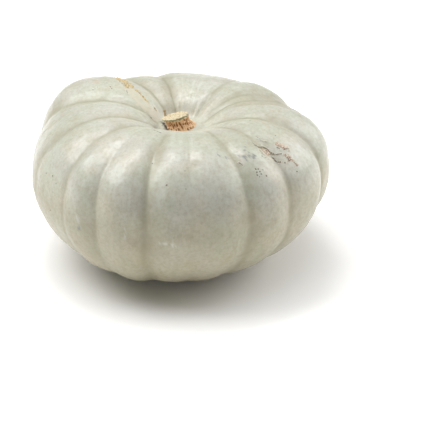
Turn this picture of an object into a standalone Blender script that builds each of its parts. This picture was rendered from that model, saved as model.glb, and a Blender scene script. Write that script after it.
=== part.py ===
"""A whole grey ribbed squash: one lobed fruit and the corky stub of its stem.

Metres, +Z up. The fruit rests on the flat spots under its lobes at z = 0, and its box is centred on the
Z axis. The front is -Y. Angles round the fruit are azimuths in degrees from the front, positive towards
+X, and angles down it are polar angles from the stem.
"""
import math

import bmesh
import bpy
import numpy as np

MM = 0.001

# The turned form that the lobes are raised on
RADIUS = 134 * MM
CROWN_HEIGHT = 67 * MM
BASE_DEPTH = 92 * MM
SHOULDER_POWER = 0.62
CROWN_POWER = 0.80
FLANK_POWER = 1.0
BASE_POWER = 1.0
SIDE_SWELL = 0.06
LEFT_RISE = 0.04
FRONT_RISE = 0.04

# The hollow round the stem, with a flat seat for it, and the hollow underneath with its corky ring
STEM_HOLLOW_DEPTH = 27 * MM
STEM_HOLLOW_RADIUS = 41 * MM
STEM_HOLLOW_STRETCH = 0.20
STEM_OFFSET = (10.5 * MM, -2.5 * MM)
SEAT_RADIUS = 15 * MM
SEAT_BLEND = 17 * MM
SEAT_RISE = 2.5 * MM
BLOSSOM_HOLLOW_DEPTH = 12 * MM
BLOSSOM_HOLLOW_RADIUS = 42 * MM
RING_RADIUS = 21 * MM
RING_HEIGHT = 1.2 * MM
RING_WIDTH = 3 * MM
FLAT_SPOT_DEPTH = 0.9 * MM

# One row for each lobe, going round to the right from behind the left. The first three numbers are of
# the groove before the lobe: its azimuth in degrees, its depth, and how far from the stem it begins.
# The last two say how far the lobe swells at the belly and at the shoulder. All lengths in millimetres.
LOBES = [
    (-151, 4.5, 15, 3.5, 7.0),
    (-106, 4.5, 15, -3.5, -2.5),
    (-71, 4.0, 15, -3.0, 1.0),
    (-46, 3.0, 20, 2.0, 1.0),
    (-29, 2.0, 110, 3.0, 1.0),
    (-9, 4.0, 60, 1.5, 1.0),
    (9, 1.0, 60, 0.5, 1.0),
    (30, 3.5, 50, 1.5, 1.0),
    (49, 3.5, 45, 1.5, 1.0),
    (75, 4.4, 30, 3.0, 3.0),
    (101, 4.0, 60, 1.5, 0.5),
    (111, 4.5, 20, 0.0, 0.0),
    (119, 3.5, 35, -0.5, 1.5),
    (139, 2.5, 15, 2.0, -2.0),
    (187, 5.0, 12, 0.0, -1.0),
]
FULL_DEPTH_AFTER = 20 * MM
BELLY_STRENGTH = 0.75
BASE_STRENGTH = 0.45
LOBE_RISE = (20 * MM, 60 * MM)

# A groove's cross-section near the stem and out at the rim, and where the one turns into the other
CREASE_SOFTNESS = (1.2 * MM, 4.8 * MM)
CREASE_REACH = (5 * MM, 9 * MM)
CREASE_OPENS = (30 * MM, 120 * MM)

# The stem stub: (distance from its axis, height) in millimetres, from the middle of the cut face down the
# side to the middle of the foot
STEM_PROFILE = [
    (0, 9.8),
    (5, 10.1),
    (9.5, 10.3),
    (11.6, 9.8),
    (11.8, 8.6),
    (11.1, 6.9),
    (10.8, 4.9),
    (11.2, 3.1),
    (12.5, 1.5),
    (13.2, 0.6),
    (12.2, 0),
    (6, 0),
    (0, 0),
]
STEM_RIBS = 9
STEM_RIB_DEPTH = 1.2 * MM
STEM_RIB_SHIFT = 1.5
STEM_RIBS_OUTSIDE = 9 * MM
STEM_LEAN = (-5.5 * MM, 0 * MM)
CUT_SLOPE = (0.27, -0.13)
SPUR_BASE = (-14 * MM, 6 * MM, 8.5 * MM)
SPUR_LENGTH = 9 * MM
SPUR_RADIUS = 2.2 * MM
SPUR_TIP_RADIUS = 0.55 * MM
SPUR_TILT = (math.radians(-12), math.radians(-16))

# How finely the solids are cut into facets
FACETS_PER_LOBE = 8
FRUIT_RINGS = 40
RING_CROWDING = 0.42
STEM_FACETS = 45
STEM_RINGS_PER_POINT = 2
SPUR_FACETS = 10
CONTACT_GAP = 0.3 * MM
SHARP_ANGLE = math.radians(40)

SKIN_COLOUR = (0.60, 0.62, 0.54)
SKIN_ROUGHNESS = 0.45
CORK_COLOUR = (0.50, 0.34, 0.19)
CORK_ROUGHNESS = 0.8


def clear_scene():
    for old in list(bpy.data.objects):
        bpy.data.objects.remove(old)


def ease(value, start, end):
    """0 before start, 1 after end, and a smooth S between them."""
    t = np.clip((value - start) / (end - start), 0.0, 1.0)
    return t * t * (3.0 - 2.0 * t)


def turned_form(polar, azimuth):
    """Distance from the axis and height of the form without its lobes.

    Above the belly and below it, the distance is a power of the sine of the polar angle and the height a
    power of its cosine. Both hollows are bells taken out of that.
    """
    across, along = np.abs(np.sin(polar)), np.cos(polar)
    upper = along > 0
    swell = 1 + SIDE_SWELL * np.sin(azimuth)
    rise = 1 - LEFT_RISE * np.sin(azimuth) + FRONT_RISE * np.cos(azimuth)
    out = RADIUS * swell * np.where(upper, across**SHOULDER_POWER, across**FLANK_POWER)
    crown = CROWN_HEIGHT * rise * np.abs(along) ** CROWN_POWER
    hollow = STEM_HOLLOW_RADIUS * (1 + STEM_HOLLOW_STRETCH * np.cos(azimuth))
    crown -= STEM_HOLLOW_DEPTH * np.exp(-((out / hollow) ** 2))
    seat = CROWN_HEIGHT - STEM_HOLLOW_DEPTH + SEAT_RISE
    crown = seat + (crown - seat) * ease(out, SEAT_RADIUS, SEAT_RADIUS + SEAT_BLEND)
    base = -BASE_DEPTH * np.abs(along) ** BASE_POWER
    base += BLOSSOM_HOLLOW_DEPTH * np.exp(-((out / BLOSSOM_HOLLOW_RADIUS) ** 2))
    base -= RING_HEIGHT * np.exp(-(((out - RING_RADIUS) / RING_WIDTH) ** 2))
    return out, np.where(upper, crown, base)


def lobed_form(polar, azimuth):
    """The turned form moved along its own polar direction, in at each groove and out at each lobe.

    A groove is as deep as its row says on its line, less at the belly and the base, and fades with
    distance from its line as an exponential whose tip is rounded. A lobe swells as half a sine wave from
    groove to groove.
    """
    out, height = turned_form(polar, azimuth)
    across, along = np.abs(np.sin(polar)), np.cos(polar)
    upper = along > 0
    crown_strength = 1 - (1 - BELLY_STRENGTH) * across**4
    base_strength = BASE_STRENGTH + (BELLY_STRENGTH - BASE_STRENGTH) * across**2
    strength = np.where(upper, crown_strength, base_strength)
    opened = ease(out, *CREASE_OPENS)
    soft = CREASE_SOFTNESS[0] + (CREASE_SOFTNESS[1] - CREASE_SOFTNESS[0]) * opened
    reach = CREASE_REACH[0] + (CREASE_REACH[1] - CREASE_REACH[0]) * opened
    move = np.zeros_like(out)
    for row, (start, depth, begins, belly, shoulder) in enumerate(LOBES):
        end = LOBES[(row + 1) % len(LOBES)][0]
        turn = (azimuth - math.radians(start) + math.pi) % math.tau - math.pi
        away = np.sqrt((out * turn) ** 2 + soft**2) - soft
        begun = ease(out, begins * MM / 2, begins * MM + FULL_DEPTH_AFTER)
        move -= depth * MM * strength * begun * np.exp(-away / reach)
        part = (np.degrees(azimuth) - start) % 360 / ((end - start) % 360)
        wave = np.where(part < 1, np.sin(math.pi * np.clip(part, 0, 1)), 0.0)
        swell = belly * across**2 + np.where(upper, shoulder * np.sin(2 * polar) ** 2, 0.0)
        move += swell * MM * wave * ease(out, *LOBE_RISE)
    return out + move * across, height + move * along


def fruit_points(polar, azimuth):
    """Points on the skin, before the fruit is set down and centred."""
    out, height = lobed_form(polar, azimuth)
    slip = (1 - ease(out, SEAT_RADIUS, RADIUS)) * (height > 0)
    x = out * np.sin(azimuth) + STEM_OFFSET[0] * slip
    y = -out * np.cos(azimuth) + STEM_OFFSET[1] * slip
    return np.stack([x, y, height], axis=-1)


def sphere_mesh(name, segments, rings):
    """A unit UV sphere as a mesh, to be moved into shape."""
    bm = bmesh.new()
    bmesh.ops.create_uvsphere(bm, u_segments=segments, v_segments=rings, radius=1)
    mesh = bpy.data.meshes.new(name)
    bm.to_mesh(mesh)
    bm.free()
    return mesh


def read_points(mesh):
    flat = np.empty(len(mesh.vertices) * 3)
    mesh.vertices.foreach_get("co", flat)
    return flat.reshape(-1, 3)


def write_points(mesh, points):
    mesh.vertices.foreach_set("co", points.ravel())
    mesh.update()


def sphere_angles(points):
    """Polar angle from the top and turn from the front, 0 to 1 each, of the unit sphere's points."""
    down = np.arccos(np.clip(points[:, 2], -1, 1)) / math.pi
    turn = np.arctan2(points[:, 0], -points[:, 1]) / math.tau % 1.0
    return down, turn


def ring_polar(down):
    """The polar angles of the rings, so that they stand evenly along the profile and closer at the poles."""
    even = math.pi * down - RING_CROWDING / 2 * np.sin(math.tau * down)
    power = np.where(down < 0.5, SHOULDER_POWER, FLANK_POWER)
    bent = np.arcsin(np.clip(np.sin(even), 0, 1) ** (1 / power))
    return np.where(down < 0.5, bent, math.pi - bent)


def plain_material(name, colour, roughness):
    material = bpy.data.materials.new(name)
    material.use_nodes = True
    shader = material.node_tree.nodes["Principled BSDF"]
    shader.inputs["Base Color"].default_value = (*colour, 1)
    shader.inputs["Roughness"].default_value = roughness
    shader.inputs["Metallic"].default_value = 0
    return material


def add_object(name, mesh, material, collection):
    mesh.materials.append(material)
    piece = bpy.data.objects.new(name, mesh)
    collection.objects.link(piece)
    return piece


def make_fruit(collection):
    """The fruit from a UV sphere: each lobe gets the same number of facets, and every groove an edge.

    Returns the fruit and the middle of the seat that its stem stands on.
    """
    mesh = sphere_mesh("fruit", FACETS_PER_LOBE * len(LOBES), FRUIT_RINGS)
    down, turn = sphere_angles(read_points(mesh))
    polar = ring_polar(down)
    grooves = [row[0] for row in LOBES] + [LOBES[0][0] + 360]
    azimuth = np.interp(turn, np.linspace(0, 1, len(grooves)), np.radians(grooves))
    points = fruit_points(polar, azimuth)
    floor = points[:, 2].min() + FLAT_SPOT_DEPTH
    middle = (points.min(axis=0) + points.max(axis=0)) / 2
    shift = np.array([-middle[0], -middle[1], -floor])
    points += shift
    points[:, 2] = np.maximum(points[:, 2], 0.0)
    write_points(mesh, points)
    mesh.shade_smooth()
    skin = plain_material("pale_skin", SKIN_COLOUR, SKIN_ROUGHNESS)
    fruit = add_object("fruit", mesh, skin, collection)
    return fruit, fruit_points(np.zeros(1), np.zeros(1))[0] + shift


def stem_points(down, turn):
    """The stub round its own foot: the profile turned, ribbed, leant over and cut on the slant."""
    profile = np.array(STEM_PROFILE) * MM
    places = np.linspace(0, 1, len(profile))
    out = np.interp(down, places, profile[:, 0])
    height = np.interp(down, places, profile[:, 1])
    azimuth = turn * math.tau
    up = height / profile[:, 1].max()
    side = np.sin(math.pi * np.clip(up, 0, 1)) * (out > STEM_RIBS_OUTSIDE)
    out = out + side * STEM_RIB_DEPTH * np.cos(STEM_RIBS * azimuth + STEM_RIB_SHIFT * np.sin(azimuth))
    x = out * np.sin(azimuth)
    y = -out * np.cos(azimuth)
    z = height + up * (CUT_SLOPE[0] * x + CUT_SLOPE[1] * y)
    return np.stack([x + STEM_LEAN[0] * up, y + STEM_LEAN[1] * up, z], axis=-1)


def make_spur(collection, stem):
    """The small dead point at the back left of the cut, as a leaning cone sunk in the stub."""
    bm = bmesh.new()
    bmesh.ops.create_cone(
        bm,
        cap_ends=True,
        segments=SPUR_FACETS,
        radius1=SPUR_RADIUS,
        radius2=SPUR_TIP_RADIUS,
        depth=SPUR_LENGTH,
    )
    mesh = bpy.data.meshes.new("spur")
    bm.to_mesh(mesh)
    bm.free()
    spur = bpy.data.objects.new("spur", mesh)
    collection.objects.link(spur)
    spur.parent = stem
    spur.location = SPUR_BASE
    spur.rotation_euler = (*SPUR_TILT, 0)
    spur.hide_render = True
    spur.display_type = "WIRE"
    return spur


def make_stem(collection, joined, seat):
    """The stub from a UV sphere, standing a hair above the seat, with the spur joined to it."""
    rings = (len(STEM_PROFILE) - 1) * STEM_RINGS_PER_POINT
    mesh = sphere_mesh("stem", STEM_FACETS, rings)
    down, turn = sphere_angles(read_points(mesh))
    write_points(mesh, stem_points(down, turn))
    mesh.shade_smooth()
    mesh.set_sharp_from_angle(angle=SHARP_ANGLE)
    cork = plain_material("cork", CORK_COLOUR, CORK_ROUGHNESS)
    stem = add_object("stem", mesh, cork, collection)
    stem.location = seat + np.array([0, 0, CONTACT_GAP])
    join = stem.modifiers.new("spur", "BOOLEAN")
    join.operation = "UNION"
    join.object = make_spur(joined, stem)
    return stem


def main():
    clear_scene()
    parts = bpy.data.collections.new("pumpkin")
    joined = bpy.data.collections.new("joined_shapes")
    for collection in (parts, joined):
        bpy.context.scene.collection.children.link(collection)
    _, seat = make_fruit(parts)
    make_stem(parts, joined, seat)


main()
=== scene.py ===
# %% [markdown]
# A whole grey ribbed squash on a white table, dressed for its portrait.
# The solids of the model are loaded first, because every surface here has to stand where they stand.

# %% Load the solid model
import math

import bpy
import numpy as np
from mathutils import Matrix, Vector


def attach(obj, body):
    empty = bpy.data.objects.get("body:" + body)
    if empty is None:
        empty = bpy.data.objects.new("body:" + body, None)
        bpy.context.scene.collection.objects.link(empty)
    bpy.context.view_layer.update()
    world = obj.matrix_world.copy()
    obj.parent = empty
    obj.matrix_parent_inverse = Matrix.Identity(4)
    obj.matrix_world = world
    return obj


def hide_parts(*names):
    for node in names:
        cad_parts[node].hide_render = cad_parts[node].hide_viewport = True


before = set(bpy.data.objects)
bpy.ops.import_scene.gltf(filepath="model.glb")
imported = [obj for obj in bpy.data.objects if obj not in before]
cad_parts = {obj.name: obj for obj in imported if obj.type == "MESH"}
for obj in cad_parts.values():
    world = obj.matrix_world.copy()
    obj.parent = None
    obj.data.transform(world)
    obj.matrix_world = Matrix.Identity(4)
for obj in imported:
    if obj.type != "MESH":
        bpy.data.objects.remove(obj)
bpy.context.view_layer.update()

MM = 0.001

# %% [markdown]
# The fruit grew as one body. Without its lobes it would be nearly a turned form: a broad low dome above
# the belly and a rounder bowl below it, with a hollow at each end. Such a form could be a Screw modifier
# on a profile, but a formula of two angles is handier, because the lobes can then be raised on it and any
# point of the skin can be worked out on its own. The polar angle runs from the stem to the underside, and
# the azimuth from the front (-Y) round to the right.

# %% The turned form
RADIUS = 134 * MM
CROWN_HEIGHT = 67 * MM
BASE_DEPTH = 92 * MM
SHOULDER_POWER = 0.62
CROWN_POWER = 0.80
FLANK_POWER = 1.0
BASE_POWER = 1.0
SIDE_SWELL = 0.06
LEFT_RISE = 0.04
FRONT_RISE = 0.04
STEM_HOLLOW_DEPTH = 27 * MM
STEM_HOLLOW_RADIUS = 41 * MM
STEM_HOLLOW_STRETCH = 0.20
STEM_OFFSET = (10.5 * MM, -2.5 * MM)
SEAT_RADIUS = 15 * MM
SEAT_BLEND = 17 * MM
SEAT_RISE = 2.5 * MM
BLOSSOM_HOLLOW_DEPTH = 12 * MM
BLOSSOM_HOLLOW_RADIUS = 42 * MM
RING_RADIUS = 21 * MM
RING_HEIGHT = 1.2 * MM
RING_WIDTH = 3 * MM
FLAT_SPOT_DEPTH = 0.9 * MM


def ease(value, start, end):
    """0 before start, 1 after end, and a smooth S between them."""
    t = np.clip((value - start) / (end - start), 0.0, 1.0)
    return t * t * (3.0 - 2.0 * t)


def base_plus(shares, value):
    """A level, and so much of the value added to it."""
    return shares[0] + shares[1] * value


def turned_form(polar, azimuth):
    """Distance from the axis and height: powers of the polar angle's sine and cosine, less two bells."""
    across, along = np.abs(np.sin(polar)), np.cos(polar)
    upper = along > 0
    swell = 1 + SIDE_SWELL * np.sin(azimuth)
    rise = 1 - LEFT_RISE * np.sin(azimuth) + FRONT_RISE * np.cos(azimuth)
    out = RADIUS * swell * np.where(upper, across**SHOULDER_POWER, across**FLANK_POWER)
    crown = CROWN_HEIGHT * rise * np.abs(along) ** CROWN_POWER
    hollow = STEM_HOLLOW_RADIUS * (1 + STEM_HOLLOW_STRETCH * np.cos(azimuth))
    crown -= STEM_HOLLOW_DEPTH * np.exp(-((out / hollow) ** 2))
    seat = CROWN_HEIGHT - STEM_HOLLOW_DEPTH + SEAT_RISE
    crown = seat + (crown - seat) * ease(out, SEAT_RADIUS, SEAT_RADIUS + SEAT_BLEND)
    base = -BASE_DEPTH * np.abs(along) ** BASE_POWER
    base += BLOSSOM_HOLLOW_DEPTH * np.exp(-((out / BLOSSOM_HOLLOW_RADIUS) ** 2))
    base -= RING_HEIGHT * np.exp(-(((out - RING_RADIUS) / RING_WIDTH) ** 2))
    return out, np.where(upper, crown, base)


out_mm, height_mm = np.array(turned_form(np.linspace(0, np.pi, 5), np.zeros(5))) / MM
print("out and height in mm, stem to underside:", np.round(out_mm, 1), np.round(height_mm, 1))

# %% [markdown]
# Fifteen lobes swell between fifteen grooves. A groove runs where a strand of veins held the skin back
# while the flesh beside it grew. No two are alike, so each has a row: where its groove runs, how deep it
# is, how far from the stem it begins, and how much the lobe after it swells at the belly and the shoulder.
# A sculpt would give the same shape, but a row of five numbers can be read and changed. A groove is an
# exponential with a rounded tip, narrow by the stem and wider and softer further out.

# %% The lobes
# Azimuth of the groove in degrees, then its depth, where it begins, belly and shoulder in millimetres.
LOBES = [
    (-151, 4.5, 15, 3.5, 7.0),
    (-106, 4.5, 15, -3.5, -2.5),
    (-71, 4.0, 15, -3.0, 1.0),
    (-46, 3.0, 20, 2.0, 1.0),
    (-29, 2.0, 110, 3.0, 1.0),
    (-9, 4.0, 60, 1.5, 1.0),
    (9, 1.0, 60, 0.5, 1.0),
    (30, 3.5, 50, 1.5, 1.0),
    (49, 3.5, 45, 1.5, 1.0),
    (75, 4.4, 30, 3.0, 3.0),
    (101, 4.0, 60, 1.5, 0.5),
    (111, 4.5, 20, 0.0, 0.0),
    (119, 3.5, 35, -0.5, 1.5),
    (139, 2.5, 15, 2.0, -2.0),
    (187, 5.0, 12, 0.0, -1.0),
]
FULL_DEPTH_AFTER = 20 * MM
BELLY_STRENGTH = 0.75
BASE_STRENGTH = 0.45
LOBE_RISE = (20 * MM, 60 * MM)
CREASE_SOFTNESS = (1.2 * MM, 4.8 * MM)
CREASE_REACH = (5 * MM, 9 * MM)
CREASE_OPENS = (30 * MM, 120 * MM)
CREASE_LINE = 1.4 * MM
CREASE_FULL = 5
FOLD_LINE = 3.2 * MM


def lobed_form(polar, azimuth):
    """The turned form moved along its polar direction, in at the grooves and out at the lobes.

    Returns the distance from the axis, the height, how deep in a groove each point is, in metres, and how
    near it is to the very line of a groove, from 0 to about 1: for a narrow crease and for a wider fold.
    """
    out, height = turned_form(polar, azimuth)
    across, along = np.abs(np.sin(polar)), np.cos(polar)
    upper = along > 0
    crown_strength = 1 - (1 - BELLY_STRENGTH) * across**4
    base_strength = BASE_STRENGTH + (BELLY_STRENGTH - BASE_STRENGTH) * across**2
    strength = np.where(upper, crown_strength, base_strength)
    opened = ease(out, *CREASE_OPENS)
    soft = CREASE_SOFTNESS[0] + (CREASE_SOFTNESS[1] - CREASE_SOFTNESS[0]) * opened
    reach = CREASE_REACH[0] + (CREASE_REACH[1] - CREASE_REACH[0]) * opened
    sunk, raised, crease, fold = (np.zeros_like(out) for _ in range(4))
    for row, (start, depth, begins, belly, shoulder) in enumerate(LOBES):
        end = LOBES[(row + 1) % len(LOBES)][0]
        turn = (azimuth - math.radians(start) + math.pi) % math.tau - math.pi
        away = np.sqrt((out * turn) ** 2 + soft**2) - soft
        begun = ease(out, begins * MM / 2, begins * MM + FULL_DEPTH_AFTER)
        sunk += depth * MM * strength * begun * np.exp(-away / reach)
        crease += depth / CREASE_FULL * begun * np.exp(-((out * turn / CREASE_LINE) ** 2))
        fold += depth / CREASE_FULL * begun * np.exp(-((out * turn / FOLD_LINE) ** 2))
        part = (np.degrees(azimuth) - start) % 360 / ((end - start) % 360)
        wave = np.where(part < 1, np.sin(math.pi * np.clip(part, 0, 1)), 0.0)
        swell = belly * across**2 + np.where(upper, shoulder * np.sin(2 * polar) ** 2, 0.0)
        raised += swell * MM * wave * ease(out, *LOBE_RISE)
    move = raised - sunk
    return out + move * across, height + move * along, sunk, crease, fold


def form_points(polar, azimuth):
    """Points on the lobed form, its hollow slid over to where the stem stands."""
    out, height = lobed_form(polar, azimuth)[:2]
    slip = (1 - ease(out, SEAT_RADIUS, RADIUS)) * (height > 0)
    x = out * np.sin(azimuth) + STEM_OFFSET[0] * slip
    y = -out * np.cos(azimuth) + STEM_OFFSET[1] * slip
    return np.stack([x, y, height], axis=-1)


print(len(LOBES), "lobes, grooves", min(r[1] for r in LOBES), "to", max(r[1] for r in LOBES), "mm deep")

# %% [markdown]
# The solid model was set down on the flat spots under its lobes and centred on its box. The same facets
# are worked out again here, only to find that move, so that the fine skin lies on the solid one.

# %% Where the fruit stands
FACETS_PER_LOBE = 8
FRUIT_RINGS = 40
RING_CROWDING = 0.42


def even_polar(down, crowding):
    """Polar angles for shares 0 to 1 of the way down, even along the profile and closer at the poles."""
    even = math.pi * down - crowding / 2 * np.sin(math.tau * down)
    power = np.where(down < 0.5, SHOULDER_POWER, FLANK_POWER)
    bent = np.arcsin(np.clip(np.sin(even), 0, 1) ** (1 / power))
    return np.where(down < 0.5, bent, math.pi - bent)


grooves = np.radians([row[0] for row in LOBES] + [LOBES[0][0] + 360])
facets = np.linspace(0, len(LOBES), FACETS_PER_LOBE * len(LOBES), endpoint=False)
facet_azimuth = np.interp(facets, np.arange(len(grooves)), grooves)
facet_polar = even_polar(np.linspace(0, 1, FRUIT_RINGS + 1), RING_CROWDING)
solid = form_points(*np.meshgrid(facet_polar, facet_azimuth, indexing="ij")).reshape(-1, 3)
solid_middle = (solid.min(axis=0) + solid.max(axis=0)) / 2
STAND = np.array([-solid_middle[0], -solid_middle[1], -solid[:, 2].min() - FLAT_SPOT_DEPTH])
SEAT = form_points(np.zeros(1), np.zeros(1))[0] + STAND
print("moved by", np.round(STAND / MM, 2), "mm; the stem's seat is at", np.round(SEAT / MM, 2), "mm")

# %% [markdown]
# The camera comes early, because the marks on the skin are placed by where they are seen. It is a long
# lens from about a metre and a half, twenty-six degrees above the table, pointed a little to the right of
# the fruit and below it. A camera can be aimed with a Track To constraint, but a direction turned into
# angles says the same, and the camera's matrix is then ready for working out pixels.

# %% The camera
PICTURE = 430
CAMERA_ELEVATION = math.radians(25.9)
CAMERA_DISTANCE = 1.49
PIXELS_PER_METRE = 1106
FRUIT_PIXEL = (169.3, 167.0)
SENSOR = 36.0

to_fruit = np.array([0.0, math.cos(CAMERA_ELEVATION), -math.sin(CAMERA_ELEVATION)])
camera_place = STAND - CAMERA_DISTANCE * to_fruit
picture_up = np.cross([1.0, 0.0, 0.0], to_fruit)
aim = STAND.copy()
aim[0] += (PICTURE / 2 - FRUIT_PIXEL[0]) / PIXELS_PER_METRE
aim += (FRUIT_PIXEL[1] - PICTURE / 2) / PIXELS_PER_METRE * picture_up

camera_data = bpy.data.cameras.new("portrait_lens")
camera_data.sensor_width = SENSOR
camera_data.lens = SENSOR * CAMERA_DISTANCE * PIXELS_PER_METRE / PICTURE
camera = bpy.data.objects.new("portrait_camera", camera_data)
bpy.context.scene.collection.objects.link(camera)
camera.location = camera_place
camera.rotation_euler = Vector(aim - camera_place).to_track_quat("-Z", "Y").to_euler()
bpy.context.scene.camera = camera
bpy.context.view_layer.update()
print("lens", round(camera_data.lens, 1), "mm at", np.round(camera_place, 3), "m")


def to_pixels(points):
    """Columns, rows and depths of points in the picture: divide by depth, then scale by the lens."""
    view = np.array(camera.matrix_world.inverted())
    seen = points @ view[:3, :3].T + view[:3, 3]
    scale = camera_data.lens / SENSOR * PICTURE / -seen[..., 2]
    return PICTURE / 2 + seen[..., 0] * scale, PICTURE / 2 - seen[..., 1] * scale, -seen[..., 2]


# %% [markdown]
# A real skin is never as smooth as a formula. It has slow swells, small dents that break a reflection up,
# faint ribs that run out of the stem hollow, and a shallow fold along the bottom of each groove on the
# flanks. Noise textures on a Displace modifier could do the dents, but they have no direction along the
# lobes. Here they are a sum of plane waves with a seed, which is smooth everywhere and the same each time.

# %% The unevenness of the skin
SEED = 27
WAVE_COUNT = 28
WAVE_LENGTHS = (0.75, 1.4)
SWELLS = [(58 * MM, 0.45 * MM), (21 * MM, 0.14 * MM), (9 * MM, 0.07 * MM)]
POLE_CALM = 0.06
FLOW_SLOWNESS = 0.12
HOLLOW_RIBS = 46
HOLLOW_RIB_HEIGHT = 0.07 * MM
HOLLOW_RIB_ZONE = (SEAT_RADIUS, 30 * MM, 62 * MM, 100 * MM)
HOLLOW_RIB_SEED = SEED + 9
FOLD_DEPTH = 0.65 * MM
FOLD_ZONE = (92 * MM, 124 * MM)
NUDGE = 1e-4
TINY = 1e-15


def waves(points, length, seed):
    """Soft random unevenness with a spread of 1: many plane waves of about one length, added up."""
    rng = np.random.default_rng(seed)
    way = rng.normal(size=(WAVE_COUNT, 3))
    way /= np.linalg.norm(way, axis=1, keepdims=True)
    pace = math.tau / (length * rng.uniform(*WAVE_LENGTHS, WAVE_COUNT))
    phase = rng.uniform(0, math.tau, WAVE_COUNT)
    return np.cos(points @ (way * pace[:, None]).T + phase).sum(axis=-1) * math.sqrt(2 / WAVE_COUNT)


def flow_points(polar, azimuth):
    """A space where a streak along a lobe is one lump: sine and cosine of the azimuth, and slow polar."""
    return np.stack([np.sin(azimuth), -np.cos(azimuth), FLOW_SLOWNESS * polar], axis=-1)


def unevenness(points, polar, azimuth):
    """Height of the skin over its form: swells, plus ribs round the stem hollow, less the flanks' folds."""
    height = sum(rise * waves(points, length, SEED + step) for step, (length, rise) in enumerate(SWELLS))
    height = height * ease(np.abs(np.sin(polar)), 0.0, POLE_CALM)
    away = np.hypot(points[..., 0] - SEAT[0], points[..., 1] - SEAT[1])
    zone = ease(away, *HOLLOW_RIB_ZONE[:2]) * (1 - ease(away, *HOLLOW_RIB_ZONE[2:])) * (polar < math.pi / 2)
    ribs = waves(flow_points(polar, azimuth), math.tau / HOLLOW_RIBS, HOLLOW_RIB_SEED)
    out, *_, fold = lobed_form(polar, azimuth)
    return height + HOLLOW_RIB_HEIGHT * zone * ribs - FOLD_DEPTH * fold * ease(out, *FOLD_ZONE)


def form_normals(polar, azimuth):
    """Outward directions, from the cross product of a small step down and a small step round."""
    down = form_points(polar + NUDGE, azimuth) - form_points(polar - NUDGE, azimuth)
    turn = form_points(polar, azimuth + NUDGE) - form_points(polar, azimuth - NUDGE)
    normal = np.cross(down, turn)
    return normal / np.maximum(np.linalg.norm(normal, axis=-1, keepdims=True), TINY)


def skin_points(polar, azimuth, extra=0.0):
    """Points of the finished skin: form, unevenness and any extra height, standing on the table."""
    points = form_points(polar, azimuth) + STAND
    height = unevenness(points, polar, azimuth) + extra
    points = points + form_normals(polar, azimuth) * np.asarray(height)[..., None]
    points[..., 2] = np.maximum(points[..., 2], 0.0)
    return points


# %% [markdown]
# The skin itself is one closed surface: rings of points from the stem to the underside, with one point at
# each pole. A UV sphere has its points spread evenly, and would waste them on the back. Here the columns
# stand closer at the front, and the rings on the crown, where most of the marks are.

# %% The skin's grid
SKIN_COLUMNS = 440
SKIN_RINGS = 224
FRONT_CROWDING = 0.35
CROWN_CROWDING = 1.22
SKIN_RING_CROWDING = 0.55


def new_mesh(name, points, faces):
    """A smooth mesh from an array of points and a list of faces."""
    mesh = bpy.data.meshes.new(name)
    mesh.from_pydata(points.tolist(), [], faces)
    mesh.update()
    mesh.shade_smooth()
    return mesh


def surface_mesh(name, grid, top, bottom):
    """A closed surface from rings of points (ring, column, xyz), top to bottom, with a pole at each end."""
    rings, columns = grid.shape[:2]
    points = np.concatenate([grid.reshape(-1, 3), [top], [bottom]])
    here = np.arange(rings * columns).reshape(rings, columns)
    beside = np.roll(here, -1, axis=1)
    quads = np.stack([here[:-1], here[1:], beside[1:], beside[:-1]], axis=-1).reshape(-1, 4)
    crown = np.stack([np.full(columns, rings * columns), here[0], beside[0]], axis=-1)
    base = np.stack([np.full(columns, rings * columns + 1), beside[-1], here[-1]], axis=-1)
    return new_mesh(name, points, quads.tolist() + crown.tolist() + base.tolist())


def add_piece(name, mesh, material):
    """A finished piece: at the origin, riding on the one body."""
    mesh.materials.append(material)
    piece = bpy.data.objects.new(name, mesh)
    bpy.context.scene.collection.objects.link(piece)
    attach(piece, "root")
    print(name, len(mesh.vertices), "points,", sum(len(p.vertices) - 2 for p in mesh.polygons), "triangles")
    return piece


def keep_on_points(mesh, **fields):
    """Stores a number for every point of a mesh under a name, for its material to read."""
    for name, values in fields.items():
        values = np.asarray(values, dtype=np.float32)
        kind = "FLOAT" if values.ndim == 1 else "FLOAT_VECTOR"
        attribute = mesh.attributes.new(name, kind, "POINT")
        attribute.data.foreach_set("value" if values.ndim == 1 else "vector", values.ravel())


turns = np.linspace(0, 1, SKIN_COLUMNS, endpoint=False)
columns = math.tau * (turns - 0.5) + FRONT_CROWDING * np.sin(math.tau * turns)
downs = np.linspace(0, 1, SKIN_RINGS + 2) ** CROWN_CROWDING
rings = even_polar(downs, SKIN_RING_CROWDING)[1:-1]
grid_polar, grid_azimuth = np.meshgrid(rings, columns, indexing="ij")
skin_grid = skin_points(grid_polar, grid_azimuth)
skin_poles = skin_points(np.array([0.0, math.pi]), np.zeros(2))
ring_gaps = np.linalg.norm(np.diff(skin_grid, axis=0), axis=-1) / MM
print("rings", round(float(ring_gaps.min()), 2), "to", round(float(ring_gaps.max()), 2), "mm apart")
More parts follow.
